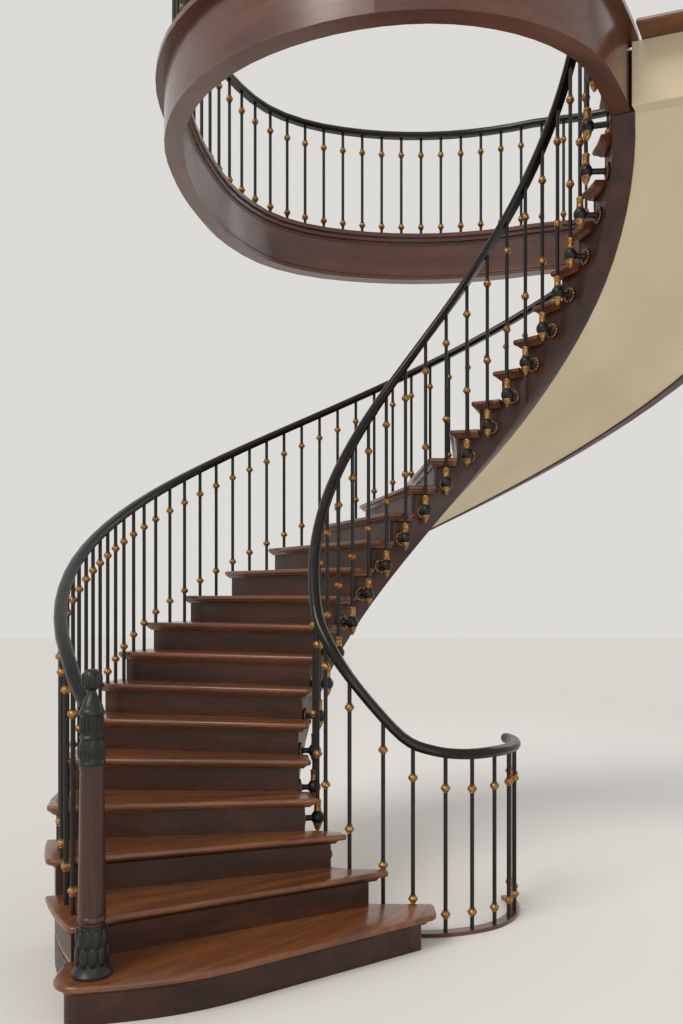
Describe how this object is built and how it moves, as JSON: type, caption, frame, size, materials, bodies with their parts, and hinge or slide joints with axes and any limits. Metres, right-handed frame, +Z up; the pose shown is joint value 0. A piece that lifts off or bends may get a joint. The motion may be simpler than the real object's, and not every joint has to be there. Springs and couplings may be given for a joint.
{
  "type": "spiral staircase",
  "caption": "Curved open-well staircase with cut strings, flared starting steps, iron balusters on side brackets, newel post, black handrails and a gallery ring round the upper well.",
  "frame": {"origin": "middle of the bottom step's flat base, on the floor", "axes": "+Z up; +Y away from the foot of the stair as seen in the picture; +X to the right"},
  "size_m": [4.3096, 3.4607, 5.2475],
  "materials": {
    "tread_wood": "varnished mahogany",
    "riser_wood": "dark varnished wood",
    "string_wood": "dark varnished wood",
    "plaster": "smooth painted plaster",
    "iron_black": "black paint, semi-gloss",
    "brass": "worn gilding",
    "rail_black": "ebonised, polished",
    "gallery_wood": "polished mahogany",
    "newel_wood": "dark varnished wood",
    "newel_iron": "dark green-black paint"
  },
  "bodies": {
    "root": {"step_block_1": "riser_wood", "tread_1": "tread_wood", "step_block_2": "riser_wood", "tread_2": "tread_wood", "step_block_3": "riser_wood", "tread_3": "tread_wood", "treads_lower": "tread_wood", "treads_middle": "tread_wood", "treads_upper": "tread_wood", "risers_lower": "riser_wood", "risers_upper": "riser_wood", "string_inner_lower": "string_wood", "string_inner_middle": "string_wood", "string_inner_upper": "string_wood", "string_outer_lower": "string_wood", "string_outer_middle": "string_wood", "string_outer_upper": "string_wood", "soffit_lower": "plaster", "soffit_middle": "plaster", "soffit_upper": "plaster", "landing_board": "tread_wood", "landing_beam": "plaster", "newel_base": "newel_iron", "newel_post": "newel_wood", "newel_head": "newel_iron", "rail_landing": "rail_black", "rail_inner_lower": "rail_black", "rail_inner_upper": "rail_black", "rail_outer_lower": "rail_black", "rail_outer_middle": "rail_black", "rail_outer_upper": "rail_black", "balusters_inner": "iron_black", "balusters_landing": "iron_black", "balusters_outer": "iron_black", "brackets": "iron_black", "bracket_gilding": "brass", "knots_stair": "brass", "gallery_near": "gallery_wood", "gallery_left": "gallery_wood", "gallery_far": "gallery_wood", "gallery_right": "gallery_wood", "rail_gallery": "rail_black", "balusters_gallery": "iron_black", "knots_gallery": "brass", "landing_curb": "gallery_wood"}
  },
  "joints": []
}
